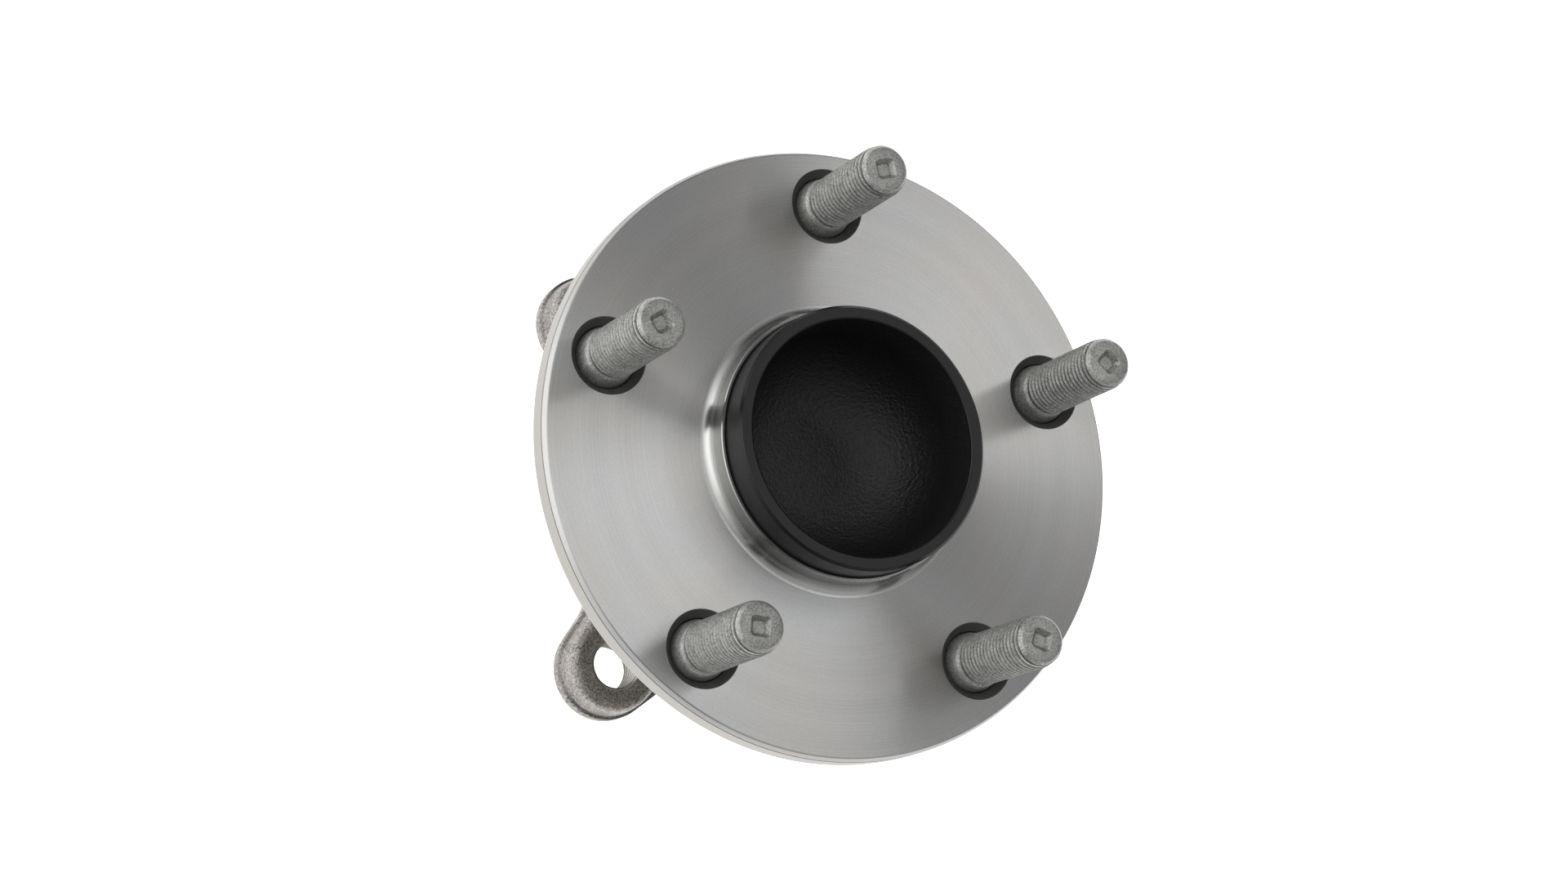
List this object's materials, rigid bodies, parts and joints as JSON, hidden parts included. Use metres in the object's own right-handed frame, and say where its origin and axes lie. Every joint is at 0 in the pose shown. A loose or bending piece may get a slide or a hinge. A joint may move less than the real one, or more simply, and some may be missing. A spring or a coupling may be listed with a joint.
{
  "type": "wheel hub bearing",
  "caption": "Flanged wheel hub bearing for a wheel that is not driven: studded wheel flange with stepped pilot, two-row ball bearing, outer ring with threaded ears and spigot.",
  "frame": {"origin": "on the axle, in the plane of the ring's face that is bolted to the knuckle, where the spigot starts", "axes": "+Z along the axle, out of the car, towards the wheel; X and Y along the two sides of the rectangle of the four knuckle bolts"},
  "size_m": [0.1398, 0.1398, 0.0973],
  "materials": {
    "hub_steel": "forged, then face-turned bright",
    "stud_coating": "matt grey zinc-flake coating",
    "forged_steel": "shot-blasted forging",
    "bearing_steel": "ground",
    "ball_steel": "polished",
    "cage_plastic": "moulded, glass-filled",
    "stainless_steel": "pressed",
    "pressed_steel": "phosphated",
    "plated_cap_steel": "drawn and zinc plated",
    "seal_rubber": "moulded",
    "magnetic_rubber": "moulded, magnetised"
  },
  "bodies": {
    "outer_ring": {"outer_ring": "forged_steel", "seal_case": "pressed_steel", "seal_lips": "seal_rubber", "end_cap": "plated_cap_steel", "end_cap_gasket": "seal_rubber"},
    "hub": {"wheel_hub": "hub_steel", "wheel_stud_1": "stud_coating", "wheel_stud_2": "stud_coating", "wheel_stud_3": "stud_coating", "wheel_stud_4": "stud_coating", "wheel_stud_5": "stud_coating", "inner_ring": "bearing_steel", "seal_slinger": "stainless_steel", "encoder_core": "pressed_steel", "encoder_magnet": "magnetic_rubber"},
    "outboard_row": {"outboard_cage": "cage_plastic", "outboard_ball_01": "ball_steel", "outboard_ball_02": "ball_steel", "outboard_ball_03": "ball_steel", "outboard_ball_04": "ball_steel", "outboard_ball_05": "ball_steel", "outboard_ball_06": "ball_steel", "outboard_ball_07": "ball_steel", "outboard_ball_08": "ball_steel", "outboard_ball_09": "ball_steel", "outboard_ball_10": "ball_steel", "outboard_ball_11": "ball_steel", "outboard_ball_12": "ball_steel", "outboard_ball_13": "ball_steel"},
    "inboard_row": {"inboard_cage": "cage_plastic", "inboard_ball_01": "ball_steel", "inboard_ball_02": "ball_steel", "inboard_ball_03": "ball_steel", "inboard_ball_04": "ball_steel", "inboard_ball_05": "ball_steel", "inboard_ball_06": "ball_steel", "inboard_ball_07": "ball_steel", "inboard_ball_08": "ball_steel", "inboard_ball_09": "ball_steel", "inboard_ball_10": "ball_steel", "inboard_ball_11": "ball_steel", "inboard_ball_12": "ball_steel", "inboard_ball_13": "ball_steel"}
  },
  "joints": [
    {"name": "hub_spin", "type": "hinge", "parent": "outer_ring", "child": "hub", "pos_m": [0, 0, 0], "axis": [0, 0, 1], "continuous": true},
    {"name": "outboard_row_orbit", "type": "hinge", "parent": "outer_ring", "child": "outboard_row", "pos_m": [0, 0, 0.03], "axis": [0, 0, 1], "continuous": true},
    {"name": "inboard_row_orbit", "type": "hinge", "parent": "outer_ring", "child": "inboard_row", "pos_m": [0, 0, 0.008], "axis": [0, 0, 1], "continuous": true}
  ],
  "couplings": [
    {"joint": "outboard_row_orbit", "follows": "hub_spin", "ratio": 0.4144},
    {"joint": "inboard_row_orbit", "follows": "hub_spin", "ratio": 0.4144}
  ]
}
